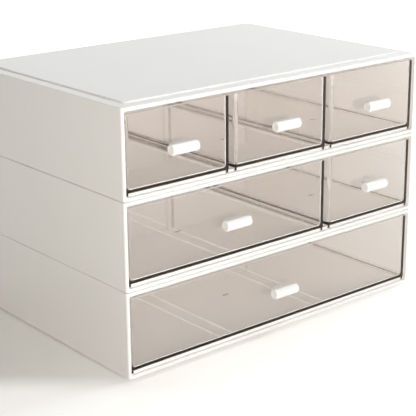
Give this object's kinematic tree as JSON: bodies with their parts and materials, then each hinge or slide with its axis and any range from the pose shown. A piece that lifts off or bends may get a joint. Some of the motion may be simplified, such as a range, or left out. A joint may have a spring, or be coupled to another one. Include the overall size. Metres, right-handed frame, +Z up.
{
  "type": "drawer organizer",
  "caption": "Desktop organizer of three stacked white moulded units with clear smoke-tinted drawers, which slide out by white bar handles.",
  "frame": {"origin": "centre of the bounding box at the level that the pads stand on", "axes": "+X along the width to the right of someone facing the drawers, +Y to the back, +Z up"},
  "size_m": [0.305, 0.2222, 0.207],
  "materials": {
    "white_case": "satin moulded polystyrene",
    "smoke_tray": "clear, smoke-brown tint, polished",
    "white_handle": "smooth moulded",
    "pad": "matte, translucent grey"
  },
  "bodies": {
    "case_stack": {"case_bottom": "white_case", "case_middle": "white_case", "case_top": "white_case", "pad_front_left": "pad", "pad_front_right": "pad", "pad_back_left": "pad", "pad_back_right": "pad"},
    "drawer_bottom_full": {"drawer_bottom_full": "smoke_tray", "handle_bottom_full": "white_handle"},
    "drawer_middle_wide": {"drawer_middle_wide": "smoke_tray", "handle_middle_wide": "white_handle"},
    "drawer_middle_narrow": {"drawer_middle_narrow": "smoke_tray", "handle_middle_narrow": "white_handle"},
    "drawer_top_left": {"drawer_top_left": "smoke_tray", "handle_top_left": "white_handle"},
    "drawer_top_middle": {"drawer_top_middle": "smoke_tray", "handle_top_middle": "white_handle"},
    "drawer_top_right": {"drawer_top_right": "smoke_tray", "handle_top_right": "white_handle"}
  },
  "joints": [
    {"name": "slide_bottom_full", "type": "slide", "parent": "case_stack", "child": "drawer_bottom_full", "axis": [0, -1, 0], "range_m": [0, 0.165]},
    {"name": "slide_middle_wide", "type": "slide", "parent": "case_stack", "child": "drawer_middle_wide", "axis": [0, -1, 0], "range_m": [0, 0.165]},
    {"name": "slide_middle_narrow", "type": "slide", "parent": "case_stack", "child": "drawer_middle_narrow", "axis": [0, -1, 0], "range_m": [0, 0.165]},
    {"name": "slide_top_left", "type": "slide", "parent": "case_stack", "child": "drawer_top_left", "axis": [0, -1, 0], "range_m": [0, 0.165]},
    {"name": "slide_top_middle", "type": "slide", "parent": "case_stack", "child": "drawer_top_middle", "axis": [0, -1, 0], "range_m": [0, 0.165]},
    {"name": "slide_top_right", "type": "slide", "parent": "case_stack", "child": "drawer_top_right", "axis": [0, -1, 0], "range_m": [0, 0.165]}
  ]
}
